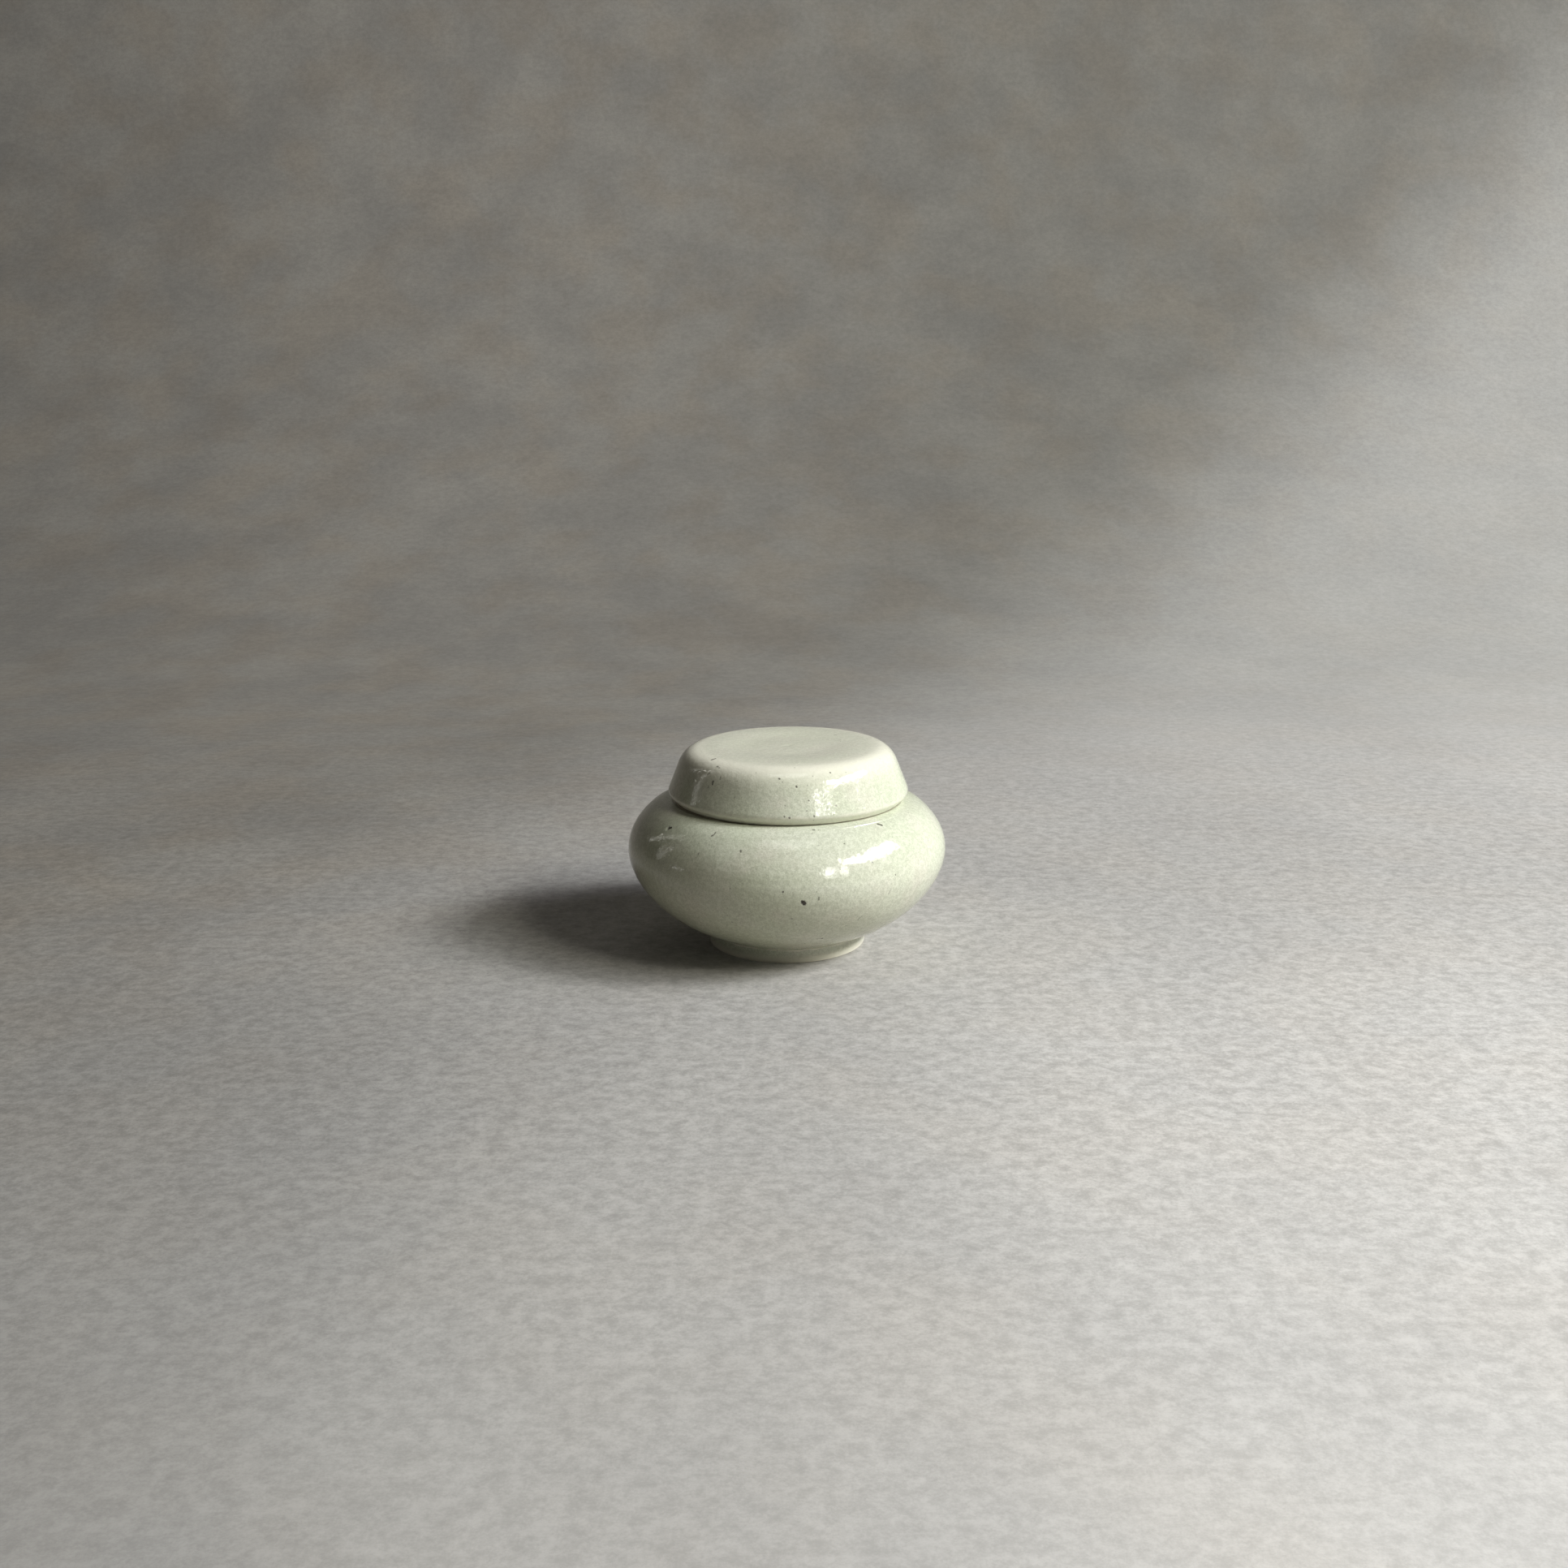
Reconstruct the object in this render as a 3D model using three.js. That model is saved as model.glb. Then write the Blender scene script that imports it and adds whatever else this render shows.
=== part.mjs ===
// A small wheel-thrown porcelain jar with a cap lid, in millimetres, +Z up, standing on z = 0.
// The jar is one piece of clay: turned foot ring, flattened round body, seat and upright neck.
// The lid is a second piece: a shallow cap whose skirt goes over the neck and rests on the seat.
import * as THREE from "three";

// Outside of the jar's body
const bodyRadius = 40; // at the waist, its widest circle
const waistHeight = 24.6;
const undersideRadius = 11.6; // the underside would run level from here to the axis
const undersideHeight = 2.2; // height of that level part, hidden within the foot
const bellyFullness = 1.77; // waist to foot: 2 is an ellipse, less is leaner
const shoulderRise = 19.8; // the shoulder's oval closes this far above the waist
const shoulderFullness = 2.1; // waist to seat

// Inside of the jar's body
const bodyWall = 3.4;
const floorThickness = 4.2; // over the recess in the foot
const innerBellyFullness = 1.9;
const innerShoulderFullness = 2.6;

// Foot ring
const footRadius = 19.9;
const footRingWidth = 3.4;
const footOuterRound = 0.6;
const footInnerRound = 0.5;
const recessDepth = 2.6; // turned out of the underside, inside the ring
const recessDraft = 1; // the recess is this much narrower at its top

// Seat, and the neck that stands up from it
const seatHeight = 37.2;
const seatEdgeRound = 3; // the shoulder rolls into the seat over this length on either side
const seatThickness = 3.6;
const neckRadius = 24.4;
const neckWall = 3;
const neckHeight = 7; // above the seat
const neckRootRound = 0.5;
const lipRound = 1.4;
const throatRound = 1.6;

// Lid, outside: heights are above the underside of its skirt
const lidHeight = 13.1;
const skirtEdgeRadius = 28.1; // outer edge of the skirt's underside
const lidWidestRadius = 30.4;
const lidWidestHeight = 1.8;
const lidWidestRound = 0.9;
const lidTopEdgeRadius = 25.9; // where side and top would meet in a sharp corner
const lidTopEdgeRound = 4.3;
const lidCrownRadius = 18; // the top's highest circle
const lidCrownRise = 0.3; // from that corner up to the highest circle
const lidCrownRound = 3;
const lidDish = 0.5; // the middle of the top lies this much lower than the highest circle

// Lid, inside
const lidWall = 3.6; // thickness of the top
const skirtCornerRound = 4.5; // where the inside of the skirt meets the ceiling
const skirtInnerRound = 0.6;
const neckClearance = 0.8; // between the neck and the inside of the skirt
const seatGap = 0.3; // the skirt rides this high on the rough bare clay of the seat

// Facets
const turnSteps = 56; // round the axis
const roundSteps = 3; // in one rounded corner
const bellySteps = 10;
const shoulderSteps = 7;
const samePoint = 0.05; // profile points closer than this are one point

// A quarter of an oval in (radius, height) that runs level at one end and upright at the waist.
// angle 0 is the level end and PI / 2 the waist; the fullness bends it leaner or squarer.
class OvalQuarter extends THREE.Curve {
  constructor(levelRadius, levelHeight, waistRadius, waistZ, fullness) {
    super();
    this.level = new THREE.Vector2(levelRadius, levelHeight);
    this.waist = new THREE.Vector2(waistRadius, waistZ);
    this.power = 2 / fullness;
    this.startAngle = 0;
    this.endAngle = Math.PI / 2;
  }
  angleAtRadius(radius) {
    const share = (radius - this.level.x) / (this.waist.x - this.level.x);
    return Math.asin(share ** (1 / this.power));
  }
  angleAtHeight(height) {
    const share = (height - this.waist.y) / (this.level.y - this.waist.y);
    return Math.acos(share ** (1 / this.power));
  }
  between(startAngle, endAngle) {
    this.startAngle = startAngle;
    this.endAngle = endAngle;
    return this;
  }
  pointAt(angle, target = new THREE.Vector2()) {
    const outward = Math.abs(Math.sin(angle)) ** this.power;
    const level = Math.abs(Math.cos(angle)) ** this.power;
    return target.set(
      THREE.MathUtils.lerp(this.level.x, this.waist.x, outward),
      THREE.MathUtils.lerp(this.waist.y, this.level.y, level),
    );
  }
  getPoint(t, target) {
    return this.pointAt(THREE.MathUtils.lerp(this.startAngle, this.endAngle, t), target);
  }
}

// Turns a list of corners [radius, height, round] into profile points.
// A round softens its corner with a curve that starts and ends that far along the two sides.
// On a side that is too short for it, the curve takes all of the side, or half of it where the
// corner at its other end has a round too.
function profile(corners) {
  const points = corners.map(([radius, height]) => new THREE.Vector2(radius, height));
  const rounded = points.flatMap((point, i) => {
    const round = corners[i][2];
    if (!round) return [point];
    const along = (j) => {
      const share = round / point.distanceTo(points[j]);
      return point.clone().lerp(points[j], Math.min(share, corners[j][2] ? 0.5 : 1));
    };
    const bend = new THREE.QuadraticBezierCurve(along(i - 1), point, along(i + 1));
    return bend.getPoints(roundSteps);
  });
  return rounded.filter((point, i) => i === 0 || point.distanceTo(rounded[i - 1]) > samePoint);
}

const onCurve = (curve, steps) => curve.getPoints(steps).map((point) => [point.x, point.y]);

// True for the curve points that a corner's round leaves standing
const clearOf = (corner, round) => ([radius, height]) =>
  Math.hypot(radius - corner.x, height - corner.y) > round;

// Revolves a profile that starts and ends on the axis. The profile runs from the underside
// outwards and up, which turns its faces outwards once the lathe's axis stands along +Z.
function turned(name, corners, material) {
  const geometry = new THREE.LatheGeometry(profile(corners), turnSteps);
  geometry.rotateX(Math.PI / 2);
  const mesh = new THREE.Mesh(geometry, material);
  mesh.name = name;
  return mesh;
}

// Jar
const belly = new OvalQuarter(
  undersideRadius,
  undersideHeight,
  bodyRadius,
  waistHeight,
  bellyFullness,
);
const shoulder = new OvalQuarter(
  0,
  waistHeight + shoulderRise,
  bodyRadius,
  waistHeight,
  shoulderFullness,
);
const floorHeight = recessDepth + floorThickness;
const innerBelly = new OvalQuarter(
  undersideRadius,
  floorHeight,
  bodyRadius - bodyWall,
  waistHeight,
  innerBellyFullness,
);
const innerShoulder = new OvalQuarter(
  0,
  seatHeight - seatThickness,
  bodyRadius - bodyWall,
  waistHeight,
  innerShoulderFullness,
);
const footInnerRadius = footRadius - footRingWidth;
const neckInnerRadius = neckRadius - neckWall;
const neckTop = seatHeight + neckHeight;

const bellyRun = belly.between(belly.angleAtRadius(footRadius), Math.PI / 2);
const seatEdgeAngle = shoulder.angleAtHeight(seatHeight);
const seatEdge = shoulder.pointAt(seatEdgeAngle);
const shoulderRun = shoulder.between(Math.PI / 2, seatEdgeAngle);
const throatAngle = innerShoulder.angleAtRadius(neckInnerRadius);
const throat = innerShoulder.pointAt(throatAngle);
const innerShoulderRun = innerShoulder.between(throatAngle, Math.PI / 2);
const innerBellyRun = innerBelly.between(Math.PI / 2, 0);

const jar = turned(
  "jar",
  [
    [0, recessDepth],
    [footInnerRadius - recessDraft, recessDepth, footInnerRound],
    [footInnerRadius, 0, footInnerRound],
    [footRadius, 0, footOuterRound],
    ...onCurve(bellyRun, bellySteps),
    ...onCurve(shoulderRun, shoulderSteps).slice(1).filter(clearOf(seatEdge, seatEdgeRound)),
    [seatEdge.x, seatEdge.y, seatEdgeRound],
    [neckRadius, seatHeight, neckRootRound],
    [neckRadius, neckTop, lipRound],
    [neckInnerRadius, neckTop, lipRound],
    [throat.x, throat.y, throatRound],
    ...onCurve(innerShoulderRun, shoulderSteps).filter(clearOf(throat, throatRound)),
    ...onCurve(innerBellyRun, bellySteps).slice(1),
    [0, floorHeight],
  ],
  new THREE.MeshStandardMaterial({ color: 0xc6c9b4, roughness: 0.22, metalness: 0 }),
);

// Lid
const skirtInnerRadius = neckRadius + neckClearance;
const ceilingHeight = lidHeight - lidDish - lidWall;
const lid = turned(
  "lid",
  [
    [0, ceilingHeight],
    [skirtInnerRadius, ceilingHeight, skirtCornerRound],
    [skirtInnerRadius, 0, skirtInnerRound],
    [skirtEdgeRadius, 0, skirtInnerRound],
    [lidWidestRadius, lidWidestHeight, lidWidestRound],
    [lidTopEdgeRadius, lidHeight - lidCrownRise, lidTopEdgeRound],
    [lidCrownRadius, lidHeight, lidCrownRound],
    [0, lidHeight - lidDish],
  ],
  new THREE.MeshStandardMaterial({ color: 0xbfc3b0, roughness: 0.22, metalness: 0 }),
);
lid.position.z = seatHeight + seatGap;

const liddedJar = new THREE.Group();
liddedJar.add(jar, lid);
export default liddedJar;
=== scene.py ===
"""A small lidded porcelain jar under a pale grey-green glaze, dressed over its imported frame.

The jar and the lid are each one revolved surface, computed in millimetres with the sizes of the
solids that they stand for, and then given what a hand-thrown pot has: soft turning rings, a lid
whose top isn't quite level, and a skin of glaze with specks of iron.
"""

import math

import bpy
import numpy as np
from mathutils import Matrix, Quaternion, Vector


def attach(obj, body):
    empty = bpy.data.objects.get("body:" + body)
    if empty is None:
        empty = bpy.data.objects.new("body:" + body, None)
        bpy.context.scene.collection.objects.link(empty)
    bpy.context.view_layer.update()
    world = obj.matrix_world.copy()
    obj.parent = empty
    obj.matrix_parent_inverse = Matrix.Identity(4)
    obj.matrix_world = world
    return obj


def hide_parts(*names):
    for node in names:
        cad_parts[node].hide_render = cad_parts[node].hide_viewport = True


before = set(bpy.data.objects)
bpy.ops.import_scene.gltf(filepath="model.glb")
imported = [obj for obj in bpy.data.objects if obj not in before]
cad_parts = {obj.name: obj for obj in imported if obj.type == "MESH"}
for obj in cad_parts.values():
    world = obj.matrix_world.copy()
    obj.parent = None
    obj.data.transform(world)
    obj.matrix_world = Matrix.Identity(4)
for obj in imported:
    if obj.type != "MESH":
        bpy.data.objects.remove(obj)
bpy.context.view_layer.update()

MM = 0.001

# Sizes of the jar, in millimetres
BODY_RADIUS = 40.0
WAIST_HEIGHT = 24.6
UNDERSIDE_RADIUS = 11.6
UNDERSIDE_HEIGHT = 2.2
BELLY_FULLNESS = 1.77
SHOULDER_RISE = 19.8
SHOULDER_FULLNESS = 2.1
BODY_WALL = 3.4
FLOOR_THICKNESS = 4.2
INNER_BELLY_FULLNESS = 1.9
INNER_SHOULDER_FULLNESS = 2.6
FOOT_RADIUS = 19.9
FOOT_RING_WIDTH = 3.4
FOOT_OUTER_ROUND = 0.6
FOOT_INNER_ROUND = 0.5
RECESS_DEPTH = 2.6
RECESS_DRAFT = 1.0
SEAT_HEIGHT = 37.2
SEAT_EDGE_ROUND = 3.0
SEAT_THICKNESS = 3.6
NECK_RADIUS = 24.4
NECK_WALL = 3.0
NECK_HEIGHT = 7.0
NECK_ROOT_ROUND = 0.5
LIP_ROUND = 1.4
THROAT_ROUND = 1.6

# Sizes of the lid, in millimetres
LID_HEIGHT = 13.1
SKIRT_EDGE_RADIUS = 28.1
LID_WIDEST_RADIUS = 30.4
LID_WIDEST_HEIGHT = 1.8
LID_WIDEST_ROUND = 0.9
LID_TOP_EDGE_RADIUS = 25.9
LID_TOP_EDGE_ROUND = 4.3
LID_CROWN_RADIUS = 18.0
LID_CROWN_RISE = 0.3
LID_CROWN_ROUND = 3.0
LID_DISH = 0.5
LID_WALL = 3.6
SKIRT_CORNER_ROUND = 4.5
SKIRT_INNER_ROUND = 0.6
NECK_CLEARANCE = 0.8
SEAT_GAP = 0.3
RIM_HEIGHT = SEAT_HEIGHT + SEAT_GAP

# What the hand and the glaze change in the jar, in millimetres
FOOT_EDGE_ROUND = 0.4 * FOOT_OUTER_ROUND
RING_DEPTH = 0.012
RING_PACE = 2.1  # radians of the wave for each millimetre of height
FINE_RING_DEPTH = 0.008
FINE_RING_PACE = 4.3
OUT_OF_ROUND = 0.0015  # as a share of the radius
TURNED_MIDDLE = 21  # the rings fade out above and below this height
TURNED_REACH = 9
SEAT_BEAD_RADIUS = 31.77
SEAT_BEAD_RISE = 0.13
SEAT_BEAD_ANGLE = -58.0  # degrees; the middle of the stretch where it shows
FOOT_BEAD_HEIGHT = 3.4
FOOT_BEAD_RISE = 0.2

# What they change in the lid, in millimetres
RIM_EDGE_ROUND = 0.5 * SKIRT_INNER_ROUND
RIM_SPREAD = 0.4  # the glaze makes the rim's lower edge wider by this much
RIM_SINK = 0.25  # the glazed rim comes down into the gap by this much
LID_ASIDE = 0.25  # the lid sits this far to the right on its seat
LEAN_RIGHT = 0.011  # rise of the lid's top for each millimetre to the right
LEAN_BACK = 0.010
TOP_WAVE = 0.0015  # as a share of the radius
MOUND_RISE = 0.17
MOUND_WIDTH = 5.0
FINGER_RING_DEPTH = 0.12
FINGER_RING_RADIUS = 10.5
FINGER_RING_WIDTH = 4.0
UPRIGHT_LEFT = 0.3  # the lid's left side leans out less, by this much at the rim

# Steps of the surfaces, in millimetres
PROFILE_STEP = 0.8
BEAD_STEP = 0.03
DENSE_STEP = 0.05
SAME_POINT = 1e-4
TURN_STEPS = 200  # round the axis

# The camera was solved from the photographed outline: it stands 0.38 m in front of the jar's axis
# and 0.13 m up, and looks down by 13.6 degrees, with a roll of 0.2 degrees.
PHOTO_SIZE = 1932  # pixels, both ways
LENS = 35.4
SENSOR_WIDTH = 36
NEAR_CLIP = 0.01
CAMERA_PLACE = Vector((-0.00067, -0.3769, 0.1317))
PITCH = math.radians(13.614)
ROLL = math.radians(-0.177)
forward = Vector((0, math.cos(PITCH), -math.sin(PITCH)))
level_up = Vector((0, math.sin(PITCH), math.cos(PITCH)))
right = Vector((1, 0, 0)) * math.cos(ROLL) + level_up * math.sin(ROLL)
up = level_up * math.cos(ROLL) - Vector((1, 0, 0)) * math.sin(ROLL)


def place_camera():
    data = bpy.data.cameras.new("camera")
    data.sensor_width = SENSOR_WIDTH
    data.lens = LENS
    data.clip_start = NEAR_CLIP
    camera = bpy.data.objects.new("camera", data)
    axes = Matrix([[right[i], up[i], -forward[i]] for i in range(3)]).to_4x4()
    camera.matrix_world = Matrix.Translation(CAMERA_PLACE) @ axes
    bpy.context.scene.collection.objects.link(camera)
    bpy.context.scene.camera = camera


def sight_line(across, down):
    """Direction from the camera to a pixel of the picture, counted from its top left corner.

    forward + (right * (across - half) - up * (down - half)) / focal length in pixels
    """
    focal = LENS / SENSOR_WIDTH * PHOTO_SIZE
    half = PHOTO_SIZE / 2
    return forward + (right * (across - half) - up * (down - half)) / focal


# Profiles: lists of (radius, height), which start and end on the axis


def oval(level_radius, level_height, waist_radius, fullness, start, end, steps=40):
    """Quarter oval in (radius, height): level at angle 0, upright at pi / 2.

    radius = level_radius + (waist_radius - level_radius) * sin(a) ** (2 / fullness)
    height = waist + (level_height - waist) * cos(a) ** (2 / fullness)
    """
    angle = np.linspace(start, end, steps)
    power = 2 / fullness
    outward = np.abs(np.sin(angle)) ** power
    level = np.abs(np.cos(angle)) ** power
    radius = level_radius + (waist_radius - level_radius) * outward
    height = WAIST_HEIGHT + (level_height - WAIST_HEIGHT) * level
    return [(r, z, 0.0) for r, z in zip(radius, height)]


def angle_at(share, fullness, inverse):
    """The oval's angle where its radius (asin) or height (acos) has come this share of the way."""
    return inverse(share ** (fullness / 2))


def softened(corners, steps=9):
    """Corners (radius, height, round) to profile points, each round a quadratic curve."""
    points = [np.array(corner[:2], float) for corner in corners]
    out = []
    for i, point in enumerate(points):
        size = corners[i][2]
        if not size:
            out.append(point)
            continue
        ends = []
        for j in (i - 1, i + 1):
            share = size / np.linalg.norm(points[j] - point)
            ends.append(point + (points[j] - point) * min(share, 0.5 if corners[j][2] else 1.0))
        t = np.linspace(0, 1, steps)[:, None]
        out.extend((1 - t) ** 2 * ends[0] + 2 * t * (1 - t) * point + t * t * ends[1])
    return np.array(out)


def clear_of(corner, size, points):
    """The points of a curve that the round of this corner leaves standing."""
    return [p for p in points if math.hypot(p[0] - corner[0], p[1] - corner[1]) > size]


def spaced(points, longest=PROFILE_STEP):
    """The same profile with its longer steps divided, so that no step is over `longest`."""
    out = [points[:1]]
    for a, b in zip(points[:-1], points[1:]):
        count = max(1, math.ceil(np.linalg.norm(b - a) / longest))
        share = np.linspace(0, 1, count + 1)[1:, None]
        out.append(a + (b - a) * share)
    joined = np.concatenate(out)
    apart = np.linalg.norm(np.diff(joined, axis=0), axis=1) > SAME_POINT
    return joined[np.concatenate([[True], apart])]


def refined(points, near, step):
    """The same profile with steps of at most `step` where `near` says so of a step's middle."""
    out = [points[:1]]
    for a, b in zip(points[:-1], points[1:]):
        count = math.ceil(np.linalg.norm(b - a) / step) if near(*(a + b) / 2) else 1
        out.append(a + (b - a) * np.linspace(0, 1, count + 1)[1:, None])
    return np.concatenate(out)


def near_bead(radius, height):
    """True within half a millimetre or so of the seat's bead and of the one over the foot."""
    seat = abs(radius - SEAT_BEAD_RADIUS) < 0.5 and height > SEAT_HEIGHT - 1.5
    foot = abs(height - FOOT_BEAD_HEIGHT) < 0.6 and abs(radius - FOOT_RADIUS) < 0.3
    return seat or foot


def jar_profile():
    """From the middle of the underside out over the foot and up the belly, the shoulder, the seat
    and the neck, and from its lip down the inside to the middle of the floor."""
    inner_radius = BODY_RADIUS - BODY_WALL
    neck_inner = NECK_RADIUS - NECK_WALL
    neck_top = SEAT_HEIGHT + NECK_HEIGHT
    floor_height = RECESS_DEPTH + FLOOR_THICKNESS
    inner_top = SEAT_HEIGHT - SEAT_THICKNESS
    foot_inner = FOOT_RADIUS - FOOT_RING_WIDTH
    waist = math.pi / 2
    foot_share = (FOOT_RADIUS - UNDERSIDE_RADIUS) / (BODY_RADIUS - UNDERSIDE_RADIUS)
    seat_share = (SEAT_HEIGHT - WAIST_HEIGHT) / SHOULDER_RISE
    foot_angle = angle_at(foot_share, BELLY_FULLNESS, math.asin)
    seat_angle = angle_at(seat_share, SHOULDER_FULLNESS, math.acos)
    throat_angle = angle_at(neck_inner / inner_radius, INNER_SHOULDER_FULLNESS, math.asin)
    belly = oval(
        UNDERSIDE_RADIUS, UNDERSIDE_HEIGHT, BODY_RADIUS, BELLY_FULLNESS, foot_angle, waist)
    shoulder = oval(
        0, WAIST_HEIGHT + SHOULDER_RISE, BODY_RADIUS, SHOULDER_FULLNESS, waist, seat_angle)
    inner_shoulder = oval(
        0, inner_top, inner_radius, INNER_SHOULDER_FULLNESS, throat_angle, waist)
    inner_belly = oval(
        UNDERSIDE_RADIUS, floor_height, inner_radius, INNER_BELLY_FULLNESS, waist, 0)
    seat_edge, throat = shoulder[-1], inner_shoulder[0]
    corners = [
        (0, RECESS_DEPTH, 0),
        (foot_inner - RECESS_DRAFT, RECESS_DEPTH, FOOT_INNER_ROUND),
        (foot_inner, 0, FOOT_INNER_ROUND),
        (FOOT_RADIUS, 0, FOOT_EDGE_ROUND),
        *belly,
        *clear_of(seat_edge, SEAT_EDGE_ROUND, shoulder[1:]),
        (*seat_edge[:2], SEAT_EDGE_ROUND),
        (NECK_RADIUS, SEAT_HEIGHT, NECK_ROOT_ROUND),
        (NECK_RADIUS, neck_top, LIP_ROUND),
        (neck_inner, neck_top, LIP_ROUND),
        (*throat[:2], THROAT_ROUND),
        *clear_of(throat, THROAT_ROUND, inner_shoulder),
        *inner_belly[1:],
        (0, floor_height, 0),
    ]
    return refined(spaced(softened(corners)), near_bead, BEAD_STEP)


def lid_profile():
    """From the middle of the ceiling out and down the inside of the skirt, round the rim, up the
    side and over the top to its middle."""
    skirt_inner = NECK_RADIUS + NECK_CLEARANCE
    ceiling = LID_HEIGHT - LID_DISH - LID_WALL
    corners = [
        (0, ceiling, 0),
        (skirt_inner, ceiling, SKIRT_CORNER_ROUND),
        (skirt_inner, -RIM_SINK, SKIRT_INNER_ROUND),
        (SKIRT_EDGE_RADIUS + RIM_SPREAD, -RIM_SINK, RIM_EDGE_ROUND),
        (LID_WIDEST_RADIUS, LID_WIDEST_HEIGHT, LID_WIDEST_ROUND),
        (LID_TOP_EDGE_RADIUS, LID_HEIGHT - LID_CROWN_RISE, LID_TOP_EDGE_ROUND),
        (LID_CROWN_RADIUS, LID_HEIGHT, LID_CROWN_ROUND),
        (0, LID_HEIGHT - LID_DISH, 0),
    ]
    points = spaced(softened(corners))
    points[:, 1] += RIM_HEIGHT
    return points


# Surfaces of revolution, and what the potter's hand adds to them


def revolved(name, profile, shape, aside, turns):
    """Closed surface of revolution. Its first and last profile points lie on the axis.

    x = aside + r * cos(a), y = r * sin(a), z = h over a grid of profile points and turn angles
    a; shape(r, h, a) returns the changed (r, h) that make it a thrown pot.
    """
    angle = np.linspace(0, 2 * math.pi, turns, endpoint=False)
    radius = np.repeat(profile[1:-1, :1], turns, 1)
    height = np.repeat(profile[1:-1, 1:], turns, 1)
    radius, height = shape(radius, height, angle[None, :])
    grid = np.stack([radius * np.cos(angle), radius * np.sin(angle), height], -1).reshape(-1, 3)
    poles = np.array([[0, 0, profile[0, 1]], [0, 0, profile[-1, 1]]])
    vertices = (np.concatenate([grid, poles]) + (aside, 0, 0)) * MM
    rings = len(profile) - 2
    row = np.arange(rings - 1)[:, None] * turns
    column = np.arange(turns)[None, :]
    following = (column + 1) % turns
    quads = np.stack(
        [row + column, row + following, row + turns + following, row + turns + column], -1)
    start, end = rings * turns, rings * turns + 1
    last = (rings - 1) * turns
    first_fan = np.stack([np.full(turns, start), following[0], column[0]], -1)
    last_fan = np.stack([np.full(turns, end), last + column[0], last + following[0]], -1)
    corners = np.concatenate([quads.reshape(-1), first_fan.reshape(-1), last_fan.reshape(-1)])
    sizes = np.concatenate([np.full(quads.size // 4, 4), np.full(2 * turns, 3)])
    mesh = bpy.data.meshes.new(name)
    mesh.vertices.add(len(vertices))
    mesh.vertices.foreach_set("co", vertices.ravel())
    mesh.loops.add(len(corners))
    mesh.loops.foreach_set("vertex_index", corners)
    mesh.polygons.add(len(sizes))
    mesh.polygons.foreach_set("loop_start", np.concatenate([[0], np.cumsum(sizes)[:-1]]))
    mesh.update(calc_edges=True)
    mesh.shade_smooth()
    piece = bpy.data.objects.new(name, mesh)
    bpy.context.scene.collection.objects.link(piece)
    return piece


def bell(value, centre, width):
    """1 at the centre, e ** -1 at this width from it, and towards 0 further out."""
    return np.exp(-((value - centre) / width) ** 2)


def ramp(value, start, end):
    """0 at start and before, 1 at end and after."""
    return np.clip((value - start) / (end - start), 0, 1)


def thrown_jar(radius, height, angle):
    """Shallow turning rings on the belly, as waves over the height that drift round the body.

    The body is a hair out of round. A bead of glaze stands along part of the seat's edge: a slow
    rise outwards with a steep edge. Another bead, a bell over the height, runs above the foot.
    """
    rings = RING_DEPTH * np.sin(RING_PACE * height + 0.7 * np.sin(angle))
    rings = rings + FINE_RING_DEPTH * np.sin(FINE_RING_PACE * height + angle)
    out_of_round = OUT_OF_ROUND * radius * np.cos(2 * angle + 0.6)
    seat_bead = ramp(radius, SEAT_BEAD_RADIUS - 1.6, SEAT_BEAD_RADIUS - 0.06)
    seat_bead = seat_bead * ramp(radius, SEAT_BEAD_RADIUS + 0.06, SEAT_BEAD_RADIUS - 0.06)
    seat_bead = seat_bead * ramp(height, SEAT_HEIGHT - 3, SEAT_HEIGHT - 2)
    seat_bead = seat_bead * bell(np.cos(angle - math.radians(SEAT_BEAD_ANGLE)), 1, 0.1)
    foot_bead = bell(height, FOOT_BEAD_HEIGHT, 0.13)
    foot_bead = foot_bead * ramp(radius, FOOT_RADIUS - 1, FOOT_RADIUS - 0.1)
    turned = (rings + out_of_round) * bell(height, TURNED_MIDDLE, TURNED_REACH)
    return radius + turned + FOOT_BEAD_RISE * foot_bead, height + SEAT_BEAD_RISE * seat_bead


def thrown_lid(radius, height, angle):
    """The top leans up to the right and to the back, by as much less as it is nearer the rim.

    Its dish has a low mound in the middle and a shallow ring round that, left by a fingertip.
    The side is a little more upright on the left.
    """
    share = np.clip((height - RIM_HEIGHT) / LID_HEIGHT, 0, 1)
    lift = LEAN_RIGHT * radius * np.cos(angle) + LEAN_BACK * radius * np.sin(angle)
    wave = TOP_WAVE * radius * np.sin(3 * angle + 0.4)
    mound = MOUND_RISE * bell(radius, 0, MOUND_WIDTH)
    finger = mound - FINGER_RING_DEPTH * bell(radius, FINGER_RING_RADIUS, FINGER_RING_WIDTH)
    upright = UPRIGHT_LEFT * ramp(-np.cos(angle), 0.2, 1.0) * (1 - share) * ramp(radius, 25, 28)
    return radius - upright, height + (lift + wave + finger) * share


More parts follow.
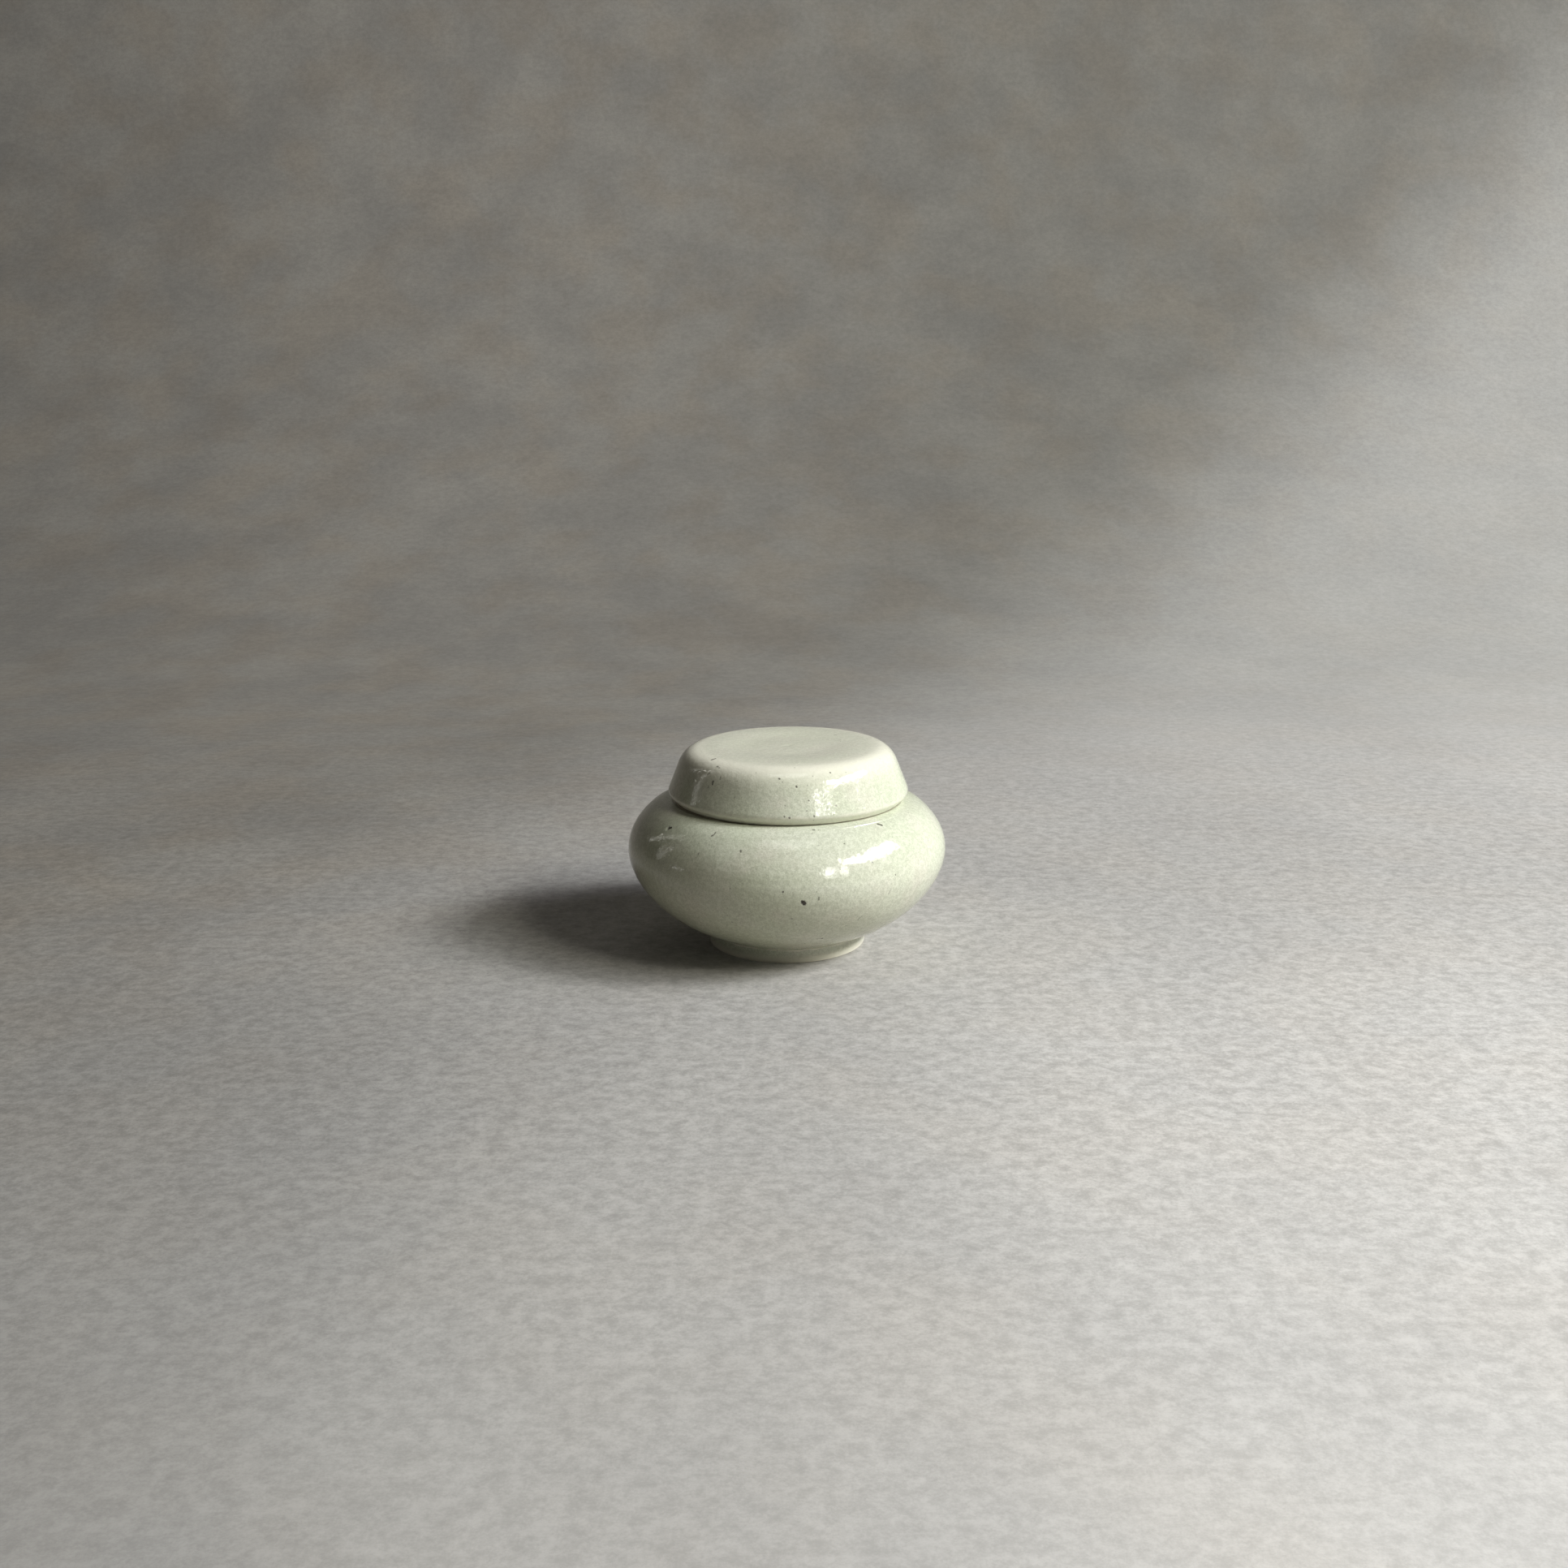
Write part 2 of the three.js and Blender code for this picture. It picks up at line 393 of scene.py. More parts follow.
class Pot:
    """A thrown piece: its profile, what the hand adds to it and how far it stands to the right."""

    def __init__(self, profile, shape, aside=0.0):
        self.profile, self.shape, self.aside = profile, shape, aside
        self.dense = spaced(profile, DENSE_STEP)

    def surface(self, name):
        return revolved(name, self.profile, self.shape, self.aside, TURN_STEPS)

    def seated(self, point):
        """The place in millimetres on the thrown surface that lies nearest to this one."""
        x, y, z = point
        radius, angle = math.hypot(x - self.aside, y), math.atan2(y, x - self.aside)
        nearest = np.argmin(np.hypot(self.dense[:, 0] - radius, self.dense[:, 1] - z))
        radius, height = self.shape(*self.dense[nearest], angle)
        x, y = radius * math.cos(angle) + self.aside, radius * math.sin(angle)
        return (float(x), float(y), float(height))

    def shown_at(self, pixel):
        """The place on the thrown surface that a pixel of the picture shows, in millimetres.

        Each height of the plain profile gives one point of the sight line. The line goes through
        the plain surface between two of them where its distance from the axis passes the
        profile's radius, and it enters at the highest such place, because it runs downwards. The
        hand's changes then carry that place with them.
        """
        eye, line = np.array(CAMERA_PLACE) / MM, np.array(sight_line(*pixel))
        radius, height = self.dense.T
        points = eye + line * ((height - eye[2]) / line[2])[:, None]
        gap = np.hypot(points[:, 0], points[:, 1]) - radius
        crossings = np.flatnonzero(gap[:-1] * gap[1:] < 0)
        i = crossings[np.argmax(height[crossings])]
        share = gap[i] / (gap[i] - gap[i + 1])
        return self.seated(points[i] + (points[i + 1] - points[i]) * share)


jar_pot = Pot(jar_profile(), thrown_jar)
lid_pot = Pot(lid_profile(), thrown_lid, LID_ASIDE)
jar = jar_pot.surface("jar_glazed")
lid = lid_pot.surface("lid_glazed")
for piece, node in ((jar, "jar"), (lid, "lid")):
    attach(piece, node)
    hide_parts(node)


# Small helpers for material trees


class Value:
    """One output of a material's tree. Arithmetic on it adds Math or Vector Math nodes."""

    def __init__(self, tree, socket):
        self.tree = tree
        self.socket = socket

    def math(self, operation, *others, clamp=False):
        vector = self.socket.type == "VECTOR"
        node = self.tree.nodes.new("ShaderNodeVectorMath" if vector else "ShaderNodeMath")
        node.operation = operation
        if clamp:
            node.use_clamp = True
        for slot, value in zip(node.inputs, (self, *others)):
            feed(self.tree, slot, value)
        scalar = operation in ("DISTANCE", "DOT_PRODUCT", "LENGTH")
        return Value(self.tree, node.outputs["Value" if scalar or not vector else "Vector"])

    def __add__(self, other):
        return self.math("ADD", other)

    def __sub__(self, other):
        return self.math("SUBTRACT", other)

    def __rsub__(self, other):
        return self * -1.0 + other

    def __mul__(self, other):
        return self.math("MULTIPLY", other)

    def __truediv__(self, other):
        return self.math("DIVIDE", other)

    __radd__ = __add__
    __rmul__ = __mul__

    def step(self, low, high):
        """0 at low and 1 at high, whichever is larger, with a smooth way between them."""
        node = self.tree.nodes.new("ShaderNodeMapRange")
        node.interpolation_type = "SMOOTHSTEP"
        feed(self.tree, node.inputs["Value"], self)
        node.inputs["From Min"].default_value = min(low, high)
        node.inputs["From Max"].default_value = max(low, high)
        node.inputs["To Min"].default_value = float(low > high)
        node.inputs["To Max"].default_value = float(low < high)
        return Value(self.tree, node.outputs["Result"])


def feed(tree, slot, value):
    """Links a Value to a node's input, or sets a number, a vector or a colour there."""
    if isinstance(value, Value):
        tree.links.new(value.socket, slot)
    elif slot.type == "VECTOR" and isinstance(value, (int, float)):
        slot.default_value = (value, value, value)
    elif slot.type == "RGBA":
        slot.default_value = (*value, 1.0)
    else:
        slot.default_value = value


def highest(values):
    """The largest of the Values of a generator, each made and then compared at once.

    A tree that made them all first would hold too many numbers at a time for the renderer.
    """
    total = None
    for value in values:
        total = value if total is None else total.math("MAXIMUM", value)
    return total


class Shader:
    """A material, and one method that adds any node to it."""

    def __init__(self, name):
        self.material = bpy.data.materials.new(name)
        self.material.use_nodes = True
        self.tree = self.material.node_tree
        self.tree.nodes.clear()

    def node(self, kind, inputs=(), output=0, **settings):
        """Adds a node and gives its output, or a tuple of outputs for a tuple of names."""
        node = self.tree.nodes.new("ShaderNode" + kind)
        for key, setting in settings.items():
            setattr(node, key, setting)
        for key, value in dict(inputs).items():
            feed(self.tree, node.inputs[key], value)
        if isinstance(output, tuple):
            return tuple(Value(self.tree, node.outputs[key]) for key in output)
        return Value(self.tree, node.outputs[output])

    def noise(self, place, size, detail=2.0, roughness=0.5):
        """Noise around 0.5 whose lumps measure about `size` in the units of `place`."""
        inputs = {"Vector": place, "Scale": 1 / size, "Detail": detail, "Roughness": roughness}
        return self.node("TexNoise", inputs)

    def mix(self, share, colour_a, colour_b, blend="MIX"):
        """Colour a where share is 0, and colour b, or b blended over a, where it is 1."""
        inputs = {0: share, 6: colour_a, 7: colour_b}
        return self.node("Mix", inputs, output=2, data_type="RGBA", blend_type=blend)

    def place(self, x=1.0, y=1.0, z=1.0):
        """The point on the object in millimetres, each axis stretched by its own factor."""
        point = self.node("TexCoord", output="Object")
        return point * (x / MM, y / MM, z / MM)

    def from_line(self, place, start, end):
        """Distance of a place from the straight line between two points."""
        along = Vector(end) - Vector(start)
        if along.length < SAME_POINT:
            return place.math("DISTANCE", start)
        offset = place - tuple(start)
        share = (offset.math("DOT_PRODUCT", tuple(along)) / along.length_squared).math(
            "ADD", 0.0, clamp=True)
        reached = self.node("VectorMath", {0: tuple(along), 1: share}, operation="MULTIPLY")
        return (offset - reached).math("LENGTH")

    def finish(self, surface):
        output = self.tree.nodes.new("ShaderNodeOutputMaterial")
        self.tree.links.new(surface.socket, output.inputs["Surface"])
        return self.material


# The glaze

GLAZE = (0.735, 0.765, 0.67)
GLAZE_DEEP = (0.69, 0.735, 0.61)
GLAZE_WARM = (0.75, 0.74, 0.665)
# paler glaze where it runs thin, also used as painted light on the lid's top, its top edge and the
# foot
GLAZE_THIN_AND_PAINTED_LIGHT = (0.86, 0.85, 0.755)
MOTTLE = (0.78, 0.79, 0.76)  # multiplies the colour
BARE_CLAY = (0.70, 0.63, 0.54)
# dark colour of the painted shade along the seam between lid and jar
PAINTED_SEAM_SHADE = (0.30, 0.26, 0.20)
IRON = (0.045, 0.038, 0.03)
GLAZE_IOR = 1.5

# The skin of the glaze: sizes across and heights, in millimetres
PEEL_SIZE, PEEL_HEIGHT = 1.15, 0.045
FINE_PEEL_SIZE, FINE_PEEL_HEIGHT = 0.45, 0.028
WAVE_SIZE, WAVE_HEIGHT = 7.0, 0.10
TURNING_SIZE, TURNING_HEIGHT = 0.8, 0.010
CLAY_GRAIN_SIZE, CLAY_GRAIN_HEIGHT = 0.25, 0.05
DUST_CELL = 2.3  # between the finest specks and pinholes
PINHOLE_RADIUS, PINHOLE_DEPTH = 0.16, 0.04

# Iron specks in the glaze: from and to (none for a round one) in pixels of the picture at the
# photograph's size, counted from its top left corner; radius in millimetres; depth of colour
JAR_SPECKS = [
    ((989.5, 1111.5), (991.0, 1113.4), 0.46, 1.0),
    ((988.3, 1110.1), None, 0.22, 0.8),
    ((987.8, 1113.0), None, 0.2, 0.5),
    ((964.7, 1099.1), None, 0.22, 0.8),
    ((1009.0, 1106.0), (1008.9, 1108.6), 0.19, 0.6),
    ((912.5, 1048.0), (912.5, 1049.6), 0.2, 0.7),
    ((1009.0, 1041.8), None, 0.16, 0.35),
    ((1003.0, 1023.0), (1001.9, 1022.8), 0.24, 0.8),
    ((1008.3, 1023.2), None, 0.15, 0.5),
    ((1000.5, 1026.8), None, 0.15, 0.45),
    ((1053.2, 1016.0), None, 0.2, 0.35),
    ((1081.6, 1015.4), (1086.3, 1016.6), 0.26, 0.9),
    ((1037.4, 1026.9), None, 0.15, 0.35),
    ((1097.5, 1012.8), None, 0.16, 0.4),
    ((1040.5, 1039.5), None, 0.18, 0.6),
    ((1075.0, 1062.4), None, 0.2, 0.6),
    ((1103.4, 1077.9), None, 0.2, 0.6),
    ((825.6, 1020.4), (827.0, 1019.8), 0.3, 0.95),
    ((881.7, 1025.4), (880.3, 1028.0), 0.16, 0.6),
    ((879.0, 1028.8), (876.7, 1030.0), 0.18, 0.7),
    ((860.9, 1051.0), (860.4, 1052.6), 0.17, 0.5),
    ((880.6, 1014.6), None, 0.16, 0.35),
    ((1013.1, 1156.2), (1012.8, 1156.3), 0.26, 0.85),
    ((1011.5, 1156.5), (1006.3, 1156.9), 0.13, 0.5),
    ((975.6, 1131.9), None, 0.22, 0.45),
    ((901.9, 1136.2), None, 0.2, 0.45),
    ((991.6, 1162.7), None, 0.17, 0.45),
    ((900.0, 1095.0), None, 0.16, 0.35),
    ((1094.6, 1101.4), (1097.4, 1096.6), 0.13, 0.4),
    ((1057.0, 1133.4), (1062.0, 1128.6), 0.15, 0.4),
    ((1083.5, 1118.0), None, 0.15, 0.35),
]
LID_SPECKS = [
    ((877.0, 934.2), (881.3, 933.0), 0.24, 0.9),
    ((884.2, 942.8), (883.4, 942.3), 0.2, 0.65),
    ((886.2, 944.2), (885.4, 943.8), 0.15, 0.5),
    ((887.2, 956.0), (886.8, 958.8), 0.18, 0.5),
    ((960.0, 958.4), (960.6, 958.8), 0.2, 0.8),
    ((964.0, 962.5), None, 0.15, 0.45),
    ((1022.9, 951.7), None, 0.2, 0.75),
    ((1001.4, 955.7), None, 0.16, 0.4),
    ((1042.0, 951.6), None, 0.16, 0.35),
    ((1028.6, 906.7), (1030.0, 906.8), 0.25, 0.35),
    ((1033.6, 912.6), (1036.0, 912.6), 0.15, 0.4),
    ((952.0, 934.3), None, 0.18, 0.35),
    ((979.3, 945.0), None, 0.18, 0.35),
    ((931.4, 950.7), None, 0.16, 0.35),
    ((878.0, 961.2), (877.2, 964.8), 0.24, 0.8),
    ((871.2, 952.6), (873.8, 950.4), 0.15, 0.5),
    ((872.0, 968.5), None, 0.2, 0.35),
    ((981.3, 968.2), (981.6, 968.8), 0.2, 0.8),
    ((996.5, 986.0), None, 0.18, 0.7),
    ((994.2, 999.0), None, 0.17, 0.55),
    ((995.0, 967.0), None, 0.15, 0.4),
    ((966.5, 1005.6), (966.6, 1006.4), 0.18, 0.6),
    ((972.5, 1007.4), (973.0, 1007.8), 0.2, 0.75),
    ((904.5, 982.0), None, 0.2, 0.4),
    ((1003.0, 1005.4), (1003.2, 1005.8), 0.2, 0.6),
    ((1030.0, 992.5), None, 0.2, 0.6),
    ((1002.5, 1010.5), None, 0.15, 0.35),
]

# Dents, and scratches that stand up from the glaze: from and to in pixels as above; radius and
# height in millimetres
JAR_DENTS = [
    ((823.0, 1020.8), None, 0.9, -0.2),
    ((1086.0, 1067.5), None, 0.4, -0.03),
]
LID_DENTS = [
    ((1021.0, 911.5), (1036.0, 910.2), 0.22, 0.05),
    ((1029.0, 913.6), (1036.0, 912.6), 0.20, 0.03),
    ((1066.0, 913.0), (1076.0, 911.2), 0.22, 0.05),
]

# Bands round the axis: radius low and high, height low and high, soft edge, strength
NECK_TOP = SEAT_HEIGHT + NECK_HEIGHT
LID_TOP = RIM_HEIGHT + LID_HEIGHT
# Paler bands of the jar: thin glaze at the lip; thin glaze with painted light at the foot and its
# bead
JAR_THIN_AND_PAINTED_LIGHT = [
    # lip
    (NECK_RADIUS - NECK_WALL - 0.4, NECK_RADIUS + 0.6, NECK_TOP - 1.2, NECK_TOP + 0.8, 0.4, 0.7),
    # foot: thin glaze at its lower edge, widened up the foot as painted light
    (FOOT_RADIUS - 0.7, FOOT_RADIUS + 1.1, -1, 1.5, 0.9, 0.9),
    # bead over the foot: thin glaze, with a painted highlight along it
    (FOOT_RADIUS, FOOT_RADIUS + 0.9, FOOT_BEAD_HEIGHT - 0.2, FOOT_BEAD_HEIGHT + 0.25, 0.12, 1.0),
]
JAR_BARE = [
    # underside of the foot
    (FOOT_RADIUS - FOOT_RING_WIDTH + 0.1, FOOT_RADIUS, -1, 0.12, 0.15, 1),
    # seat
    (NECK_RADIUS + 0.2, SKIRT_EDGE_RADIUS + 0.2, SEAT_HEIGHT - 0.3, SEAT_HEIGHT + 0.4, 0.2, 1),
]
# Painted shade on the seat, along the lid's rim, where the seam between them lies in shade
JAR_PAINTED_SEAM_SHADE = (
    SKIRT_EDGE_RADIUS + 0.2, SKIRT_EDGE_RADIUS + 0.9, SEAT_HEIGHT - 0.5, SEAT_HEIGHT + 0.4, 0.2, 0.6)
# Paler bands of the lid: thin glaze at the rim; painted light on the top edge and the top
LID_THIN_AND_PAINTED_LIGHT = [
    # rim
    (SKIRT_EDGE_RADIUS - 0.6, LID_WIDEST_RADIUS + 0.6, RIM_HEIGHT - 0.2, RIM_HEIGHT + 2.1, 0.5, 0.6),
    # top edge: thinner glaze, with painted sheen on it
    (LID_TOP_EDGE_RADIUS - 5.9, LID_TOP_EDGE_RADIUS + 1.1, LID_TOP - 4.1, LID_TOP + 1.4, 3.5, 0.9),
    # top: painted light, the top made paler as more light from above would make it
    (-9, LID_CROWN_RADIUS + 6, LID_TOP - 2.1, LID_TOP + 4.4, 1.5, 0.36),
]
# Underside of the rim
LID_BARE = [
    (NECK_RADIUS + 0.5, SKIRT_EDGE_RADIUS - 0.5, RIM_HEIGHT - 0.5, RIM_HEIGHT - 0.1, 0.1, 1)]
# Painted shade on the lower edge of the rim, along the seam
LID_PAINTED_SEAM_SHADE = (
    SKIRT_EDGE_RADIUS - 0.1, SKIRT_EDGE_RADIUS + 1.3, RIM_HEIGHT - 0.6, RIM_HEIGHT - 0.08, 0.12, 0.6)


def glaze(name, pot, specks, dents, thin_and_painted_light_bands, bare_bands, painted_seam_shade_band):
    """Glossy glaze over porcelain.

    Clouds of a deep and a warm green, fine mottle, paler bands where the glaze is thin and where
    light is painted on, iron specks, a dust of fine ones in the cells of a Voronoi pattern, bare
    clay and a line of painted shade along the seam between lid and jar.
    """
    s = Shader(name)
    at = s.place()
    x, y, z = s.node("SeparateXYZ", {0: at}, ("X", "Y", "Z"))
    r = (x * x + y * y).math("SQRT")
    wander = s.noise(at, 5.0) - 0.5

    def band(limits, wave):
        """1 within the band's radii and heights; its edges wander by this wave."""
        low_r, high_r, low_z, high_z, edge, strength = limits
        rr, zz = r + wander * wave, z + wander * wave
        inside_r = rr.step(low_r - edge, low_r + edge) * rr.step(high_r + edge, high_r - edge)
        inside_z = zz.step(low_z - edge, low_z + edge) * zz.step(high_z + edge, high_z - edge)
        return inside_r * inside_z * strength

    def stroke(start, end, size):
        """Distance from a stroke on the surface, counted in its own radius."""
        return s.from_line(at, pot.shown_at(start), pot.shown_at(end or start)) / size

    # paler bands: thin glaze, and painted light where the bands stand for it
    thin = highest(band(limits, 1.2) for limits in thin_and_painted_light_bands)
    bare = highest(band(limits, 0.3) for limits in bare_bands)

    colour = s.mix(s.noise(at, 26.0, 3.0).step(0.35, 0.65), GLAZE_DEEP, GLAZE)
    colour = s.mix(s.noise(at, 9.0, 2.0).step(0.45, 0.75) * 0.7, colour, GLAZE_WARM)
    streak = s.noise(s.place(0.05, 0.05, 1.0), 2.2, 3.0)
    colour = s.mix(streak.step(0.3, 0.7) * 0.35, colour, GLAZE_DEEP)
    for size, depth in ((0.3, 0.7), (0.9, 0.5)):
        mottle = s.noise(at, size, 1.0).step(0.38, 0.62)
        colour = s.mix(mottle * depth, colour, MOTTLE, "MULTIPLY")
    colour = s.mix(thin, colour, GLAZE_THIN_AND_PAINTED_LIGHT)

    ragged = (s.noise(at, 0.35, 1.0) - 0.5) * 0.9
    iron = highest(
        (stroke(start, end, size) + ragged).step(1.45, 0.75) * depth
        for start, end, size, depth in specks)
    gap, chosen = s.node(
        "TexVoronoi", {"Vector": at, "Scale": 1 / DUST_CELL, "Randomness": 1.0},
        ("Distance", "Color"))
    chosen = s.node("SeparateColor", {0: chosen}, "Red")
    gap = gap * DUST_CELL
    dust = (gap + ragged * 0.08).step(0.20, 0.06) * chosen.step(0.60, 0.95) * 0.75
    iron = iron.math("MAXIMUM", dust)
    colour = s.mix(iron, colour, IRON)
    colour = s.mix(bare, colour, BARE_CLAY)
    # painted shade: a dark line along the seam between lid and jar
    colour = s.mix(band(painted_seam_shade_band, 0.3), colour, PAINTED_SEAM_SHADE)

    height = s.noise(at, PEEL_SIZE, 1.0) * PEEL_HEIGHT
    height = height + s.noise(at, FINE_PEEL_SIZE, 2.0) * FINE_PEEL_HEIGHT
    height = height + s.noise(at, WAVE_SIZE, 1.0) * WAVE_HEIGHT
    turning = s.noise(s.place(0.01, 0.01, 1.0), TURNING_SIZE, 2.0) * TURNING_HEIGHT
    height = height + turning * z.step(31.0, 28.0)
    height = height - gap.step(PINHOLE_RADIUS, 0.0) * chosen.step(0.35, 0.30) * PINHOLE_DEPTH
    for start, end, size, rise in dents:
        height = height + stroke(start, end, size).step(1.0, 0.0) * rise
    height = height + bare * s.noise(at, CLAY_GRAIN_SIZE, 2.0) * CLAY_GRAIN_HEIGHT
    bump = s.node("Bump", {"Height": height, "Distance": MM, "Strength": 1.0})
    roughness = 0.05 + s.noise(at, 3.0, 2.0) * 0.04 + iron * 0.2 + bare * 0.6
    surface = s.node(
        "BsdfPrincipled",
        {"Base Color": colour, "Roughness": roughness, "Normal": bump, "IOR": GLAZE_IOR})
    return s.finish(surface)


jar.data.materials.append(
    glaze("jar_glaze", jar_pot, JAR_SPECKS, JAR_DENTS, JAR_THIN_AND_PAINTED_LIGHT, JAR_BARE, JAR_PAINTED_SEAM_SHADE))
lid.data.materials.append(
    glaze("lid_glaze", lid_pot, LID_SPECKS, LID_DENTS, LID_THIN_AND_PAINTED_LIGHT, LID_BARE, LID_PAINTED_SEAM_SHADE))


# Floor and light

SEEN_RAYS = ("Is Camera Ray", "Is Glossy Ray", "Is Transmission Ray")

# Colours of the floor's paper: round the jar; painted light in front of it to the right;
# painted shade in front of it to the left, behind it and up the sheet
PAPER = (0.53, 0.525, 0.527)
PAINTED_LIGHT_FRONT_RIGHT = (0.68, 0.675, 0.68)
PAINTED_SHADE_FRONT_LEFT = (0.38, 0.377, 0.377)
PAINTED_SHADE_BACK = (0.44, 0.44, 0.435)
PAINTED_SHADE_FAR_LEFT = (0.37, 0.357, 0.338)
PAINTED_SHADE_FAR_RIGHT = (0.235, 0.23, 0.213)
PAPER_ROUGHNESS = 0.75

# What multiplies them: clouds, warm patches and the fibre
CLOUD = (0.80, 0.805, 0.82)
WARMTH = (1.0, 0.96, 0.915)
FIBRE = (0.62, 0.62, 0.615)

# What the sheet gives back as light to the jar, left and right of it: painted shade on the left
# and painted light on the right
BOUNCE_LEFT_PAINTED_SHADE = (0.24, 0.22, 0.19)
BOUNCE_RIGHT_PAINTED_LIGHT = (0.44, 0.42, 0.38)


def paper():
    """The sheet's paper, painted with light and shade. Lengths are in millimetres on the floor round
    the jar.
    """
    s = Shader("floor_paper")
    at = s.place()
    x, y, z = s.node("SeparateXYZ", {0: at}, ("X", "Y", "Z"))
    # painted light: a pool of light in front to the right
    front_right = x.step(-20, 80) * y.step(60, -100)
    light = s.mix(front_right, PAPER, PAINTED_LIGHT_FRONT_RIGHT)
    # painted shade in front of the jar to the left
    front_left = x.step(-10, -120) * y.step(40, -80)
    light = s.mix(front_left, light, PAINTED_SHADE_FRONT_LEFT)
    # painted shade behind the jar
    light = s.mix(y.step(150, 450), light, PAINTED_SHADE_BACK)
    # painted shade up the sheet, under a soft diagonal edge
    dim = s.mix(x.step(-300, 250), PAINTED_SHADE_FAR_LEFT, PAINTED_SHADE_FAR_RIGHT)
    far = (y + z - x * 1.7).step(20, 440)
    colour = s.mix(far, light, dim)
    cloud = s.noise(at, 70.0, 5.0, 0.65).step(0.3, 0.7) * (0.45 + far * 0.55)
    colour = s.mix(cloud, colour, CLOUD, "MULTIPLY")
    warmth = s.noise(at, 45.0, 4.0).step(0.4, 0.65) * (0.3 + far * 0.7)
    colour = s.mix(warmth, colour, WARMTH, "MULTIPLY")
    fibre = s.noise(s.place(0.85, 1.0, 1.0), 3.4, 4.0, 0.9).step(0.3, 0.7)
    fibre = fibre * (1 - y.step(50, 400) * 0.5) * (0.5 + y.step(-280, -60) * 0.5)
    colour = s.mix(fibre, colour, FIBRE, "MULTIPLY")
    seen = highest(s.node("LightPath", (), SEEN_RAYS))
    # colour for the light the sheet gives back: painted shade to the left, painted light to the
    # right
    bounce = s.mix(x.step(-60, 60), BOUNCE_LEFT_PAINTED_SHADE, BOUNCE_RIGHT_PAINTED_LIGHT)
    colour = s.mix(seen, bounce, colour)
    return s.finish(s.node("BsdfPrincipled", {"Base Color": colour, "Roughness": PAPER_ROUGHNESS}))


def backdrop():
    """A sheet that lies flat, bends up behind the jar and stands: y and z along its arc length.

    Up to `flat` y is the length itself; then the sheet turns through a quarter circle of radius
    `bend`, and from there z grows by `tall`. All in metres.
    """
    front, flat, bend, tall, half = -1.6, 0.30, 0.60, 1.2, 2.6
    run = np.linspace(front, flat + bend * math.pi / 2 + tall, 120)
    turn = np.clip((run - flat) / bend, 0, math.pi / 2)
    rise = np.clip(run - flat - bend * math.pi / 2, 0, None)
    y = np.minimum(run, flat) + bend * np.sin(turn)
    z = bend * (1 - np.cos(turn)) + rise
    across = np.array([-half, half])
    grid = np.stack([np.tile(across, len(run)), np.repeat(y, 2), np.repeat(z, 2)], -1)
    row = np.arange(len(run) - 1) * 2
    faces = np.stack([row, row + 1, row + 3, row + 2], -1)
    mesh = bpy.data.meshes.new("floor")
    mesh.from_pydata(grid.tolist(), [], faces.tolist())
    mesh.shade_smooth()
    sheet = bpy.data.objects.new("floor", mesh)
    bpy.context.scene.collection.objects.link(sheet)
    sheet.data.materials.append(paper())


LAMP_DISTANCE = 1.25  # metres from the jar
LAMP_AIM = Vector((0, 0, 0.03))

# Colours of the lamps
DAYLIGHT = (1.0, 1.0, 0.96)
PANE = (1.0, 1.0, 0.93)
STRIP = (1.0, 0.97, 0.9)

# The room: grey where it is seen or mirrored, and dim as a light
ROOM_SEEN = 0.15
ROOM_LIGHT = 0.008
ROOM_COLOUR = (1.0, 0.95, 0.88, 1)


def from_angles(azimuth, elevation):
    """Unit vector; azimuth is counted from +X towards +Y."""
    a, e = math.radians(azimuth), math.radians(elevation)
    return Vector((math.cos(e) * math.cos(a), math.cos(e) * math.sin(a), math.sin(e)))


